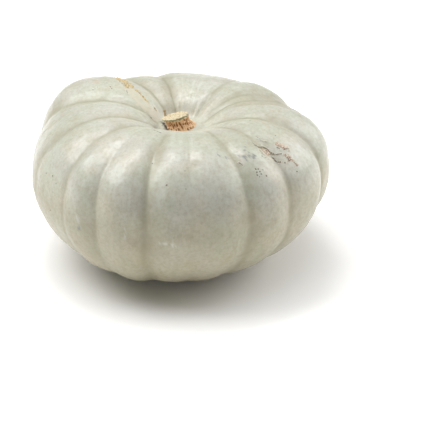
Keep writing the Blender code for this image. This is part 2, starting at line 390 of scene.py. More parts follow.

# %% [markdown]
# The fruit has had a hard life: corky scabs where a leaf rubbed it, cracks that healed with pale lips,
# grey smudges, warts and a cream band beside one groove. Beside the stem's foot there are also two dark
# strokes of painted shade. They are placed by where they are seen, as pixels of the picture, and each
# pixel is turned into the two angles of the skin that shows there. A painted image would be simpler, but
# these marks also stand up from the skin or sink into it.

# %% Where the marks are
# Each mark is its half width in millimetres and the pixels that it runs through. A speck has one pixel.
GOLD_MARKS = [
    (2.0, [(118, 78.5), (120.5, 79.5)]),
    (3.4, [(122, 80), (124.5, 81.5), (126.5, 84)]),
    (2.4, [(126.5, 84), (127, 87)]),
    (1.9, [(129.5, 85.5), (131.5, 87)]),
    (0.8, [(136, 90), (138, 91.5)]),
    (0.8, [(139.5, 93), (141.5, 95)]),
    (0.9, [(143, 97), (145, 99.5)]),
    (0.7, [(147, 101), (149, 103.5)]),
    (0.7, [(154, 107.5), (156, 110)]),
]
CORK_MARKS = [
    (2.4, [(278, 144), (281, 145.5), (284, 147), (286, 148)]),
    (2.4, [(263, 150), (265.5, 151.5), (268, 153.5)]),
    (1.8, [(286.5, 155.5), (288.5, 157)]),
    (1.7, [(289.5, 158.5), (291, 160)]),
    (1.3, [(292.5, 160.5), (293.5, 161.5)]),
    (1.3, [(295.5, 163), (296.5, 164.5)]),
]
CRACK_MARKS = [
    (0.5, [(249.5, 140), (252, 142)]),
    (0.9, [(252, 143), (253.5, 144)]),
    (0.55, [(253, 143.5), (255.5, 145.5)]),
    (1.7, [(255.5, 145.5), (258, 147), (260.5, 147.8)]),
    (0.8, [(262, 146.8), (265.5, 148.5), (269, 150.5)]),
    (1.2, [(269, 151), (271.5, 153), (274, 154.3)]),
    (0.8, [(274, 154.3), (277, 154.8)]),
    (0.5, [(277, 154.8), (281.5, 153.8)]),
    (0.7, [(270, 156), (273, 158.5), (275, 161)]),
    (0.8, [(275, 161), (277.5, 162.3), (280, 162)]),
    (0.4, [(259.5, 150.5), (262.5, 153.5)]),
    (0.4, [(265, 157.5), (268, 158.5)]),
    (0.6, [(277, 147.5), (279.5, 149)]),
    (0.6, [(284, 149.5), (287, 149)]),
    (0.6, [(287, 158), (289, 160.5)]),
    (0.3, [(92, 90), (95, 89), (98, 87)]),
    (0.3, [(104, 84), (107, 82.5)]),
    (0.45, [(110, 86.5), (112, 89)]),
    (0.4, [(43, 133), (45, 131), (47, 129)]),
    (0.25, [(256.5, 137), (259, 138.5)]),
    (0.22, [(260, 140), (264, 142), (267, 142)]),
    (0.45, [(239, 162.5), (242.5, 165.5)]),
    (0.3, [(126.5, 90), (127.5, 94)]),
]
SMUDGE_MARKS = [
    (1.2, [(245, 147.5), (246, 149.5)]),
    (1.6, [(246.5, 150.5), (249, 151.5)]),
    (2.6, [(245.5, 157.5), (248.5, 157)]),
    (2.3, [(251, 155.5), (253.5, 156.5)]),
    (1.2, [(240.5, 155), (242, 156.5)]),
    (1.0, [(225, 157), (227, 159)]),
    (0.9, [(219, 155.5), (220, 156.5)]),
    (1.2, [(78, 227), (79.5, 230)]),
]
PALE_MARKS = [
    (1.3, [(125.5, 229), (124.5, 235), (123.5, 242)]),
    (2.2, [(172, 244.5), (176.5, 247)]),
    (1.5, [(160, 244), (168, 243)]),
    (3.0, [(236, 152), (243, 160)]),
    (2.5, [(78, 219), (79.5, 223)]),
]
# Painted shade: dark strokes in the crevice at the left of the stem's foot and beside it, where shade
# falls.
PAINTED_SHADE_MARKS = [
    (2.7, [(163.5, 122.5), (165.5, 126.5), (168, 130)]),
    (0.8, [(148, 127), (155, 130.5), (161, 133)]),
]
SPECK_MARKS = [
    (0.9, (46.5, 173)), (0.6, (52.5, 176)), (0.5, (53, 180)), (0.8, (56, 183.5)), (0.6, (53, 192)),
    (0.7, (50.5, 210)), (0.7, (70.5, 241)), (0.7, (151, 117.5)), (0.5, (137, 103)), (0.5, (161, 102)),
    (1.1, (166.7, 185)), (0.6, (186, 189)), (0.8, (152.5, 163.5)), (0.7, (185, 171)),
    (0.7, (275.5, 135.7)), (0.8, (297, 171.5)), (0.9, (255.5, 169)), (1.3, (256.8, 172.5)),
    (1.0, (260, 171.5)), (1.1, (261.5, 174)), (0.9, (259.5, 177)), (0.8, (266.5, 176)), (0.9, (257.5, 175)),
    (0.8, (258.5, 169)), (0.8, (250, 121)), (0.6, (263, 170)), (0.7, (285, 162.5)), (0.6, (262, 156)),
]
RUST_MARKS = [
    (1.0, [(250, 120.5), (256, 120.5), (262, 122), (266, 124.5), (269, 127)]),
    (1.1, [(270, 110), (275, 111), (281, 112)]),
    (2.6, [(95, 81), (97.5, 83)]),
    (0.9, [(62.5, 110), (63, 115)]),
    (1.2, [(237, 164.5), (238, 164)]),
]
CREAM_MARKS = [
    (5.0, [(127, 88), (133, 95), (139.5, 103), (147.5, 110), (156, 116)]),
    (3.6, [(133, 90), (139, 95.5), (146, 102.5), (152, 109), (157, 114)]),
    (2.6, [(260, 150), (266, 155), (271, 159)]),
]
MARKS = {
    "gold": GOLD_MARKS, "cork": CORK_MARKS, "crack": CRACK_MARKS,
    "speck": [(half, [pixel]) for half, pixel in SPECK_MARKS],
    "smudge": SMUDGE_MARKS, "pale": PALE_MARKS, "shade": PAINTED_SHADE_MARKS, "rust": RUST_MARKS,
    "cream": CREAM_MARKS,
}
SEEN_SPREAD = 1.6
SEEN_LAYER = 12 * MM

seen_column, seen_row, seen_depth = to_pixels(skin_grid)
towards = camera_place - skin_grid
faces_camera = (form_normals(grid_polar, grid_azimuth) * towards).sum(axis=-1) > 0


def on_skin(pixel):
    """Polar angle and azimuth seen at a pixel: a plane fitted to the near points that face the camera."""
    right, below = seen_column - pixel[0], seen_row - pixel[1]
    away = np.where(faces_camera, np.hypot(right, below), np.inf)
    layer = np.abs(seen_depth - seen_depth.flat[away.argmin()]) < SEEN_LAYER
    near = (away < 3 * SEEN_SPREAD) & layer
    weight = np.exp(-((away[near] / SEEN_SPREAD) ** 2))[:, None]
    plane = np.stack([np.ones(near.sum()), right[near], below[near]], axis=1)
    angles = np.stack([grid_polar[near], grid_azimuth[near]], axis=1)
    return np.linalg.lstsq(plane * weight, angles * weight, rcond=None)[0][0]


def on_skin_all(rows):
    """Marks on the skin: their half widths in metres, their points, and the angles of those points."""
    found = []
    for half, line in rows:
        angles = np.array([on_skin(pixel) for pixel in line])
        found.append((half * MM, skin_points(angles[:, 0], angles[:, 1]), angles))
    return found


mark_lines = {kind: on_skin_all(rows) for kind, rows in MARKS.items()}
first_speck = mark_lines["speck"][0][1][0]
print("a speck at", SPECK_MARKS[0][1], "lies at", np.round(first_speck / MM, 1), "mm")

# %% [markdown]
# A mark is strongest on its line and gone at its half width, with an edge that wanders. Cork stands up in
# lumps, a crack lies between two low lips, and a speck is a small wart. Distance to a line gives all of
# them, where a sculpt would have to be redone for each change of a mark.

# %% How the marks shape the skin
# Each kind has how far its edge wanders, and how much of its width it takes to reach full strength.
HARD_KINDS = {"gold": (1.0, 0.4), "cork": (1.0, 0.4), "crack": (1.0, 0.7), "speck": (0.5, 0.7)}
SOFT_KINDS = {
    "smudge": (1.4, 0.8), "pale": (1.2, 1.2), "shade": (0.4, 1.0), "rust": (1.6, 1.5), "cream": (0.5, 0.9),
}
EDGE_WANDER = 0.7
EDGE_LENGTHS = (3.2 * MM, 1.2 * MM)
EDGE_SEED = SEED + 20
CORK_HEIGHT = 0.42 * MM
LUMP_LENGTH = 1.6 * MM
LUMP_SEED = SEED + 22
LUMP_SHARES = (0.62, 0.38)
LUMP_LEAST = 0.15
LIP_HEIGHT = 0.25 * MM
LIP_AWAY = 0.9 * MM
LIP_HARDNESS = 0.8
SPECK_HEIGHT = 0.22 * MM


def distance_to(points, line):
    """How far every point is from a chain of straight runs: from the nearest place on any run."""
    best = np.linalg.norm(points - line[0], axis=-1)
    for start, end in zip(line[:-1], line[1:]):
        run = end - start
        along = np.clip((points - start) @ run / (run @ run), 0, 1)
        best = np.minimum(best, np.linalg.norm(points - start - along[..., None] * run, axis=-1))
    return best


def strength_of(points, kind, wander, hardness, wider=0.0):
    """0 to 1: one on the lines of a kind, nought past their half widths, with a wandering edge."""
    best = np.zeros(points.shape[:-1])
    for half, line, _ in mark_lines[kind]:
        inside = 1 - distance_to(points, line) / (half + wider) + wander * EDGE_WANDER
        best = np.maximum(best, ease(inside, 0, hardness))
    return best


def edge_waves(points):
    """How far an edge wanders at each point: waves of two lengths, averaged."""
    return sum(waves(points, length, EDGE_SEED) for length in EDGE_LENGTHS) / len(EDGE_LENGTHS)


def strengths(points, kinds):
    """The strength of each kind of mark at each point."""
    wander = edge_waves(points)
    return {kind: strength_of(points, kind, far * wander, hard) for kind, (far, hard) in kinds.items()}


def hard_marks(points):
    """Strengths of the marks that have a shape, the height that they add, and where any of them is."""
    found = strengths(points, HARD_KINDS)
    lips = strength_of(points, "crack", edge_waves(points), LIP_HARDNESS, LIP_AWAY)
    lumps = np.maximum(base_plus(LUMP_SHARES, waves(points, LUMP_LENGTH, LUMP_SEED)), LUMP_LEAST)
    scab = np.maximum(found["gold"], found["cork"])
    height = CORK_HEIGHT * scab * lumps + LIP_HEIGHT * lips * (1 - found["crack"])
    height += SPECK_HEIGHT * found["speck"]
    shown = np.maximum.reduce([lips, *found.values()])
    found["lip"] = lips * (1 - found["crack"]) * (1 - scab)
    return found, height, shown


skin_marks = strengths(skin_grid, SOFT_KINDS)
for kind, values in skin_marks.items():
    print(kind, "covers", round(float((values > 0.5).mean()) * 100, 2), "% of the skin's points")

# %% [markdown]
# What the material has to know about each point is kept on the mesh as numbers: how deep in a groove it
# lies, how near the stem and the blossom scar, how far down the belly, and a direction along the lobes for
# streaks. A painted mask would do the same, but would need a UV map and somebody to paint it.

# %% Fields on the skin
GROOVE_FULL = 4 * MM
BLOOM_REACH = 62 * MM
CREASE_FADES = (55 * MM, 115 * MM)
BELLY_ZONE = (120 * MM, 78 * MM)
BELLY_SHARE = 0.85
BASE_ZONE = (50 * MM, 8 * MM)
BASE_SHARE = 0.15


def fade(height, start, end):
    """0 above start, 1 below end."""
    return ease(-height, -start, -end)


def skin_fields(points, polar, azimuth):
    """What the material reads of each point: grooves, nearness to the stem and the scar, belly and flow."""
    out, _, sunk, crease, fold = lobed_form(polar, azimuth)
    away = np.hypot(points[..., 0] - SEAT[0], points[..., 1] - SEAT[1])
    height = points[..., 2]
    upper = polar < math.pi / 2
    return {
        "groove": np.clip(sunk / GROOVE_FULL, 0, 1),
        "crease": np.clip(crease, 0, 1) * (1 - ease(out, *CREASE_FADES)) * upper,
        "fold": np.clip(fold, 0, 1) * ease(out, *FOLD_ZONE),
        "near_stem": np.exp(-((away / BLOOM_REACH) ** 2)) * upper,
        "blossom": np.exp(-(((out - RING_RADIUS) / RING_WIDTH) ** 2)) * ~upper,
        "belly": BELLY_SHARE * fade(height, *BELLY_ZONE) + BASE_SHARE * fade(height, *BASE_ZONE),
        "flow": flow_points(polar, azimuth),
    }


def with_poles(grid, poles):
    """Grid values in the order of the mesh's points: rings first, then the two poles."""
    return np.concatenate([grid.reshape(-1, *grid.shape[2:]), poles])


fields = skin_fields(skin_grid, grid_polar, grid_azimuth)
pole_fields = skin_fields(skin_poles, np.array([0.0, math.pi]), np.zeros(2))
skin_mesh = surface_mesh("skin", skin_grid, skin_poles[0], skin_poles[1])
keep_on_points(skin_mesh, **{name: with_poles(fields[name], pole_fields[name]) for name in fields})
keep_on_points(skin_mesh, **{name: with_poles(skin_marks[name], np.zeros(2)) for name in skin_marks})
keep_on_points(skin_mesh, **dict.fromkeys([*HARD_KINDS, "lip"], np.zeros(len(skin_mesh.vertices))))
print("fields:", ", ".join(fields))

# %% [markdown]
# Materials are trees of nodes. They could be wired by hand in the Shader Editor. Here short helpers do it:
# one adds a node, one mixes two colours, one turns a number into a share between two limits.

# %% Helpers for materials


def paint(red, green, blue):
    """A colour from 0 to 255 as screens show it, turned into linear light by the screens' own curve."""
    shown = np.array([red, green, blue]) / 255
    linear = np.where(shown <= 0.04045, shown / 12.92, ((shown + 0.055) / 1.055) ** 2.4)
    return (*linear.tolist(), 1.0)


def put(tree, socket, value):
    """Links a socket's output to an input, or sets the input's own value."""
    if isinstance(value, bpy.types.NodeSocket):
        tree.links.new(value, socket)
    else:
        socket.default_value = value


def add(tree, kind, inputs=None, **settings):
    """A shader node of a kind, its settings, and its inputs by name or number."""
    made = tree.nodes.new("ShaderNode" + kind)
    for name, value in settings.items():
        setattr(made, name, value)
    for name, value in (inputs or {}).items():
        put(tree, made.inputs[name], value)
    return made


def field(tree, name, output="Fac"):
    """The number kept on the points under that name, or with "Vector" its three numbers."""
    return add(tree, "Attribute", attribute_name=name).outputs[output]


def mix(tree, amount, first, second, how="MIX"):
    """First colour turning into the second as the amount goes from 0 to 1."""
    made = add(tree, "Mix", {0: amount, 6: first, 7: second}, data_type="RGBA", blend_type=how)
    return made.outputs[2]


def maths(tree, how, first, second=0.0, third=0.0):
    """One sum, product or other operation on numbers."""
    return add(tree, "Math", {0: first, 1: second, 2: third}, operation=how).outputs[0]


def times(tree, first, second):
    """The product of two numbers."""
    return maths(tree, "MULTIPLY", first, second)


def share(tree, value, start, end, low=0.0, high=1.0):
    """Low before start, high after end, and a smooth step between them."""
    inputs = {"Value": value, "From Min": start, "From Max": end, "To Min": low, "To Max": high}
    return add(tree, "MapRange", inputs, interpolation_type="SMOOTHSTEP").outputs["Result"]


def noise(tree, where, size, detail=3.0, roughness=0.55):
    """Soft random values from 0 to 1, in lumps of about that size in metres."""
    inputs = {"Vector": where, "Scale": 1 / size, "Detail": detail, "Roughness": roughness}
    return add(tree, "TexNoise", inputs).outputs["Fac"]


def blotches(tree, where, size, detail, start, end, low=0.0, high=1.0):
    """Blotches of about that size: the share of a noise between two limits."""
    return share(tree, noise(tree, where, size, detail), start, end, low, high)


def dents(tree, height, depth, before=None):
    """A bump from a height of 0 to 1, so many metres deep."""
    inputs = {"Height": height, "Distance": depth, "Strength": 1.0}
    if before is not None:
        inputs["Normal"] = before
    return add(tree, "Bump", inputs).outputs["Normal"]


def new_material(name, values):
    """A material whose Principled shader has these plain values on its own sockets."""
    material = bpy.data.materials.new(name)
    material.use_nodes = True
    shader = material.node_tree.nodes["Principled BSDF"]
    for socket, value in values.items():
        shader.inputs[socket].default_value = value
    return material, material.node_tree, shader


print("a middle grey of the screen is", round(paint(128, 128, 128)[0], 3), "in linear light")

# %% [markdown]
# The skin is pale grey-green with a wax on it. Close to, it is mottled: greener and pinker patches a
# thumb's width across, fine freckles, faint streaks along the lobes, and olive in the grooves, partly dust
# and partly painted shade, stronger lower down. Towards the bottom the skin is warmer and darker, partly
# its own tone and partly painted shade. One noise would give it one size of mark, so each kind has its own.

# %% The skin's material
SKIN_GREEN = paint(200, 203, 186)
SKIN_GREY = paint(206, 206, 195)
SKIN_PINK = paint(210, 203, 185)
SKIN_SHADE = paint(182, 176, 150)
# Olive for the grooves, the creases and the folds: partly their own stain, partly painted shade.
GROOVE_OLIVE_AND_SHADE = paint(158, 149, 120)
CREASE_OLIVE_AND_SHADE = paint(140, 138, 104)
BLOOM_WHITE = paint(218, 220, 208)
FRECKLE_DARK = paint(156, 148, 122)
GOLD_LIGHT = paint(216, 194, 144)
GOLD_DARK = paint(160, 128, 76)
CORK_TAN = paint(222, 200, 178)
CORK_DARK = paint(170, 138, 112)
CRACK_BROWN = paint(112, 98, 76)
LIP_PALE = paint(226, 224, 212)
SMUDGE_GREY = paint(138, 140, 136)
PALE_SCUFF = paint(222, 222, 216)
# Painted shade beside the stem's foot.
PAINTED_SHADE_DARK = paint(56, 38, 14)
SPECK_BROWN = paint(96, 86, 60)
RUST_TAN = paint(204, 176, 146)
CREAM = paint(210, 202, 180)
# The taupe with painted shade is what a colour is multiplied by towards the bottom, so it is linear light
# already. A noise is its size, detail and roughness. A share is where it starts and where it is full, and
# sometimes its least and its most.
SKIN_TAUPE_AND_SHADE = (0.75, 0.69, 0.56, 1.0)
SKIN_PATCHES = [
    (SKIN_GREY, (38 * MM,), (0.38, 0.62)),
    (SKIN_PINK, (26 * MM, 5.0), (0.46, 0.70, 0.0, 0.7)),
    (SKIN_SHADE, (11 * MM, 7.0, 0.66), (0.44, 0.72, 0.0, 0.5)),
]
STREAK_NOISE = (0.035, 5.0)
STREAK_SHARE = (0.45, 0.75, 0.0, 0.35)
STEM_STREAK_SHARE = (0.35, 0.7, 0.0, 0.25)
DUST_AND_SHADE_NOISE = (20 * MM,)
DUST_AND_SHADE_SHARE = (0.12, 0.5)
OLIVE_ABOVE, OLIVE_BELOW = 0.35, 0.90
FOLD_STRENGTH = 0.22
CREASE_STRENGTH = 0.55


def skin_colours(tree, where):
    """Patched, streaked green-grey, warmer with painted shade below, olive with painted shade in grooves.
    """
    colour, belly = SKIN_GREEN, field(tree, "belly")
    for patch, grain, limits in SKIN_PATCHES:
        colour = mix(tree, share(tree, noise(tree, where, *grain), *limits), colour, patch)
    streaks = noise(tree, field(tree, "flow", "Vector"), *STREAK_NOISE)
    colour = mix(tree, share(tree, streaks, *STREAK_SHARE), colour, BLOOM_WHITE)
    stem_streaks = times(tree, field(tree, "near_stem"), share(tree, streaks, *STEM_STREAK_SHARE))
    colour = mix(tree, stem_streaks, colour, BLOOM_WHITE)
    # Warmer and darker towards the bottom: partly the skin's own tone, partly painted shade.
    colour = mix(tree, belly, colour, mix(tree, 1.0, colour, SKIN_TAUPE_AND_SHADE, "MULTIPLY"))
    # Olive in the grooves: partly dust, partly painted shade, stronger lower down.
    dust_and_shade = share(tree, times(tree, field(tree, "groove"), noise(tree, where, *DUST_AND_SHADE_NOISE)), *DUST_AND_SHADE_SHARE)
    lower = maths(tree, "MULTIPLY_ADD", belly, OLIVE_BELOW - OLIVE_ABOVE, OLIVE_ABOVE)
    colour = mix(tree, times(tree, dust_and_shade, lower), colour, GROOVE_OLIVE_AND_SHADE)
    # Thin olive lines in the folds on the flanks and the creases by the stem: stain and painted shade.
    colour = mix(tree, times(tree, field(tree, "fold"), FOLD_STRENGTH), colour, CREASE_OLIVE_AND_SHADE)
    return mix(tree, times(tree, field(tree, "crease"), CREASE_STRENGTH), colour, CREASE_OLIVE_AND_SHADE)


# %% [markdown]
# The marks are mixed over the skin one after another, the faint ones first. Cork and the cracks are broken
# up by a noise, because flat colour would look like paint.

# %% The colours of the marks
SOFT_COLOURS = [
    ("cream", 0.75, CREAM), ("rust", 0.6, RUST_TAN), ("pale", 0.5, PALE_SCUFF),
    ("lip", 0.5, LIP_PALE), ("smudge", 0.85, SMUDGE_GREY), ("shade", 1.0, PAINTED_SHADE_DARK),
]
CRUMBS = (1.3 * MM, 3.0, 0.42, 0.66)
PATCHES = (2.6 * MM, 4.0, 0.32, 0.52, 0.45)
BREAKS = (1.1 * MM, 3.0, 0.32, 0.52, 0.35, 0.95)
SCAB_SHARE = (0.1, 0.6)
BLOSSOM_SHARE = (0.4, 0.8)
SPECK_STRENGTH = 0.9


def mark_colours(tree, where, colour):
    """The colours of the marks, mixed over the skin's own."""
    for name, strength, paint_over in SOFT_COLOURS:
        colour = mix(tree, times(tree, field(tree, name), strength), colour, paint_over)
    crumbs = blotches(tree, where, *CRUMBS)
    patchy = blotches(tree, where, *PATCHES)
    corky = times(tree, share(tree, field(tree, "cork"), *SCAB_SHARE), patchy)
    colour = mix(tree, corky, colour, mix(tree, crumbs, CORK_TAN, CORK_DARK))
    blossom = share(tree, field(tree, "blossom"), *BLOSSOM_SHARE)
    golden = share(tree, maths(tree, "MAXIMUM", field(tree, "gold"), blossom), *SCAB_SHARE)
    colour = mix(tree, times(tree, golden, patchy), colour, mix(tree, crumbs, GOLD_LIGHT, GOLD_DARK))
    broken = times(tree, field(tree, "crack"), blotches(tree, where, *BREAKS))
    colour = mix(tree, broken, colour, CRACK_BROWN)
    return mix(tree, times(tree, field(tree, "speck"), SPECK_STRENGTH), colour, SPECK_BROWN)


print("colours of marks:", ", ".join(name for name, _, _ in SOFT_COLOURS), "and", ", ".join(HARD_KINDS))

# %% [markdown]
# The wax gives a soft sheen with a clearer one over it: the shader's own coat. It is duller round the stem.
# Two sizes of dent break the sheen up, as bump, because they are far finer than the mesh.

# %% The sheen and the fine dents
MOTTLE_NOISE = (3.2 * MM, 8.0, 0.75)
FRECKLE_SHARE = (0.40, 0.70)
GRAIN_ABOVE, GRAIN_BELOW = 0.36, 0.58
WAX = {"Roughness": 0.42, "Coat Weight": 0.34, "Coat Roughness": 0.19}
SHEEN_SHARE = (0.3, 0.7, 0.38, 0.5)
STEM_DULLNESS = 0.25
FINE_DENTS = (1.6 * MM, 4.0)
FINE_DEPTH = 0.12 * MM
BROAD_DENTS = (6 * MM, 3.0)
BROAD_DEPTH = 0.25 * MM


def make_skin_material():
    """The skin's colours, fine mottling, the marks, a soft wax sheen and small dents."""
    material, tree, shader = new_material("waxy_skin", WAX)
    where = add(tree, "TexCoord").outputs["Object"]
    colour = skin_colours(tree, where)
    mottle = noise(tree, where, *MOTTLE_NOISE)
    grain = maths(tree, "MULTIPLY_ADD", field(tree, "belly"), GRAIN_BELOW - GRAIN_ABOVE, GRAIN_ABOVE)
    colour = mix(tree, times(tree, share(tree, mottle, *FRECKLE_SHARE), grain), colour, FRECKLE_DARK)
    put(tree, shader.inputs["Base Color"], mark_colours(tree, where, colour))
    rough = share(tree, mottle, *SHEEN_SHARE)
    duller = maths(tree, "MULTIPLY_ADD", field(tree, "near_stem"), STEM_DULLNESS, rough)
    put(tree, shader.inputs["Roughness"], duller)
    bump = dents(tree, noise(tree, where, *FINE_DENTS), FINE_DEPTH)
    put(tree, shader.inputs["Normal"], dents(tree, noise(tree, where, *BROAD_DENTS), BROAD_DEPTH, bump))
    return material


skin_material = make_skin_material()
fruit = add_piece("squash_skin", skin_mesh, skin_material)
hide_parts("fruit")

# %% [markdown]
# The skin's points are up to three millimetres apart, too far for a crack one millimetre wide. The whole
# skin could be made finer, but that would be a million points. Instead each group of marks gets a scab of
# its own: a fine copy of the skin by the same formula, kept only where a mark is, a hair proud of the skin
# there and tucked under it at its edge, and closed below with a Solidify modifier.

# %% Scabs and cracks
SCAB_STEP = 0.3 * MM
SCAB_LIFT = 0.06 * MM
SCAB_TUCK = 0.35 * MM
SCAB_THICKNESS = 0.5 * MM
SCAB_MARGIN = 5 * MM
SCAB_EDGE = 0.2
# Each group is a box of the picture: left, top, right, bottom.
SCAB_GROUPS = {
    "crown_scabs": (86, 70, 166, 119),
    "flank_scabs": (212, 118, 300, 180),
    "left_scabs": (40, 106, 84, 244),
    "front_specks": (148, 160, 190, 191),
}


def marks_in(box):
    """The angles of all hard marks whose first pixel lies in a box: left, top, right, bottom."""
    left, top, right, bottom = box
    inside = []
    for kind in HARD_KINDS:
        for (_, pixels), (_, _, angles) in zip(MARKS[kind], mark_lines[kind]):
            if left < pixels[0][0] < right and top < pixels[0][1] < bottom:
                inside.append(angles)
    return np.concatenate(inside)


def island_mesh(name, grid, kept):
    """A mesh of a grid's quads that have a kept corner, and the numbers of the grid points in it."""
    here = np.arange(kept.size).reshape(kept.shape)
    corners = [here[:-1, :-1], here[1:, :-1], here[1:, 1:], here[:-1, 1:]]
    quads = np.stack(corners, axis=-1).reshape(-1, 4)
    quads = quads[kept.ravel()[quads].any(axis=1)]
    used, quads = np.unique(quads, return_inverse=True)
    return new_mesh(name, grid.reshape(-1, 3)[used], quads.reshape(-1, 4).tolist()), used


def make_scabs(name, box):
    """A fine piece of skin round a group of marks, raised by the marks and tucked in between them."""
    angles = marks_in(box)
    middle = angles.mean(axis=0)
    spread = skin_points(middle[0] + np.array([0, NUDGE, 0]), middle[1] + np.array([0, 0, NUDGE]))
    per_angle = np.linalg.norm(spread[1:] - spread[0], axis=1) / NUDGE
    low = angles.min(axis=0) - SCAB_MARGIN / per_angle
    high = angles.max(axis=0) + SCAB_MARGIN / per_angle
    counts = np.ceil((high - low) * per_angle / SCAB_STEP).astype(int)
    polar, azimuth = np.meshgrid(*(np.linspace(*ends) for ends in zip(low, high, counts)), indexing="ij")
    points = skin_points(polar, azimuth)
    found, height, shown = hard_marks(points)
    show = ease(shown, 0, SCAB_EDGE)
    grid = skin_points(polar, azimuth, height + SCAB_LIFT * show - SCAB_TUCK * (1 - show))
    mesh, used = island_mesh(name, grid, shown > 0)
    kept = {**found, **strengths(points, SOFT_KINDS), **skin_fields(points, polar, azimuth)}
    keep_on_points(mesh, **{key: value.reshape(-1, *value.shape[2:])[used] for key, value in kept.items()})
    scabs = add_piece(name, mesh, skin_material)
    wall = scabs.modifiers.new("closed below", "SOLIDIFY")
    wall.thickness = SCAB_THICKNESS
    wall.offset = -1


for group, box in SCAB_GROUPS.items():
    make_scabs(group, box)

# %% [markdown]
# The stem is what is left of the stalk: a stub of cork with a pale cut face on a slant, leaning a little,
# its sides shrunk into cords with pits between them, a collar of knobs where the cords run into the skin
# and a toe at the right. The stub is a profile turned round its axis, like a pot on a wheel, and then
# pushed in and out by rules for the cords, the pits and the toe.

# %% The stem
STEM_PROFILE = [
    (0, 9.8), (5, 10.1), (9.2, 10.3), (10.6, 10.3), (11.4, 10.0), (11.7, 9.2), (11.5, 7.8), (11.0, 6.2),
    (10.9, 4.8), (11.3, 3.4), (12.2, 2.2), (13.0, 1.3), (13.2, 0.3), (12.6, -0.5), (6, -0.8), (0, -0.8),
]
STEM_TOP = 10.3 * MM
STEM_LEAN = -4.5 * MM
STEM_SINK = 0.4 * MM
CUT_SLOPE = (0.24, -0.16)
STEM_COLUMNS = 320
STEM_ROWS_PER_POINT = 13
# Waves are the length of the lumps and their seed. A band or a turn is the middle and the spread of a
# bell, and a zone is where something starts and where it is full. Shares are a level and what is added.
SIDE_START_ZONE = (-0.5 * MM, 1.0 * MM)
SIDE_END_ZONE = (7.8 * MM, 8.7 * MM)
PUSH_ZONE = (8 * MM, 10.5 * MM)
STEM_CORDS = 27
CORD_WAVES = (9 * MM, 3)
CORD_WANDER = 0.8
CORD_ROUNDNESS = 1.4
PIT_WAVES = (3.6 * MM, 4)
PIT_SHARES = (0.7, 0.5)
PIT_DEPTH = 1.25 * MM
GRIT_WAVES = (1.7 * MM, 5)
GRIT_HEIGHT = 0.11 * MM
GRIT_ZONE = (2 * MM, 8 * MM)
GRIT_SHARES = (0.4, 0.6)
KNOB_WAVES = (4 * MM, 6)
KNOB_SHARES = (0.6, 0.4)
KNOB_HEIGHT = 0.55 * MM
KNOB_BAND = (0.2 * MM, 2.8 * MM)
TOE_TURN = (math.radians(112), math.radians(24))
TOE_BAND = (0.0, 3.0 * MM)
TOE_LENGTH = 1.9 * MM
UNDERCUT_TURN = (math.radians(-80), math.radians(50))
UNDERCUT_BAND = (2.2 * MM, 3.4 * MM)
UNDERCUT_DEPTH = 2.2 * MM
FACE_WAVES = (3.2 * MM, 8)
FACE_HEIGHT = 0.14 * MM
RIM_WAVES = (2.5 * MM, 7)
RIM_WANDER = 0.3 * MM
RIM_ZONE = (9.6 * MM, 10.6 * MM)
RIM_BAND = (9.4 * MM, 0.55 * MM)
RIM_FRONT_ZONE = (-3 * MM, 4 * MM)


def smooth_profile(knots, rows_between):
    """A rounded line through knots: the Catmull-Rom curve, which passes each along its neighbours."""
    knots = np.array(knots, dtype=float)
    padded = np.concatenate([2 * knots[:1] - knots[1:2], knots, 2 * knots[-1:] - knots[-2:-1]])
    t = np.linspace(0, len(knots) - 1, (len(knots) - 1) * rows_between + 1)
    piece = np.minimum(t.astype(int), len(knots) - 2)
    t = (t - piece)[:, None]
    a, b, c, d = (padded[piece + step] for step in range(4))
    return 0.5 * (2 * b + (c - a) * t + (2 * a - 5 * b + 4 * c - d) * t**2 + (3 * b - a - 3 * c + d) * t**3)


def bell(value, middle, spread):
    """1 at the middle, fading to 0 on both sides as a bell."""
    return np.exp(-(((value - middle) / spread) ** 2))


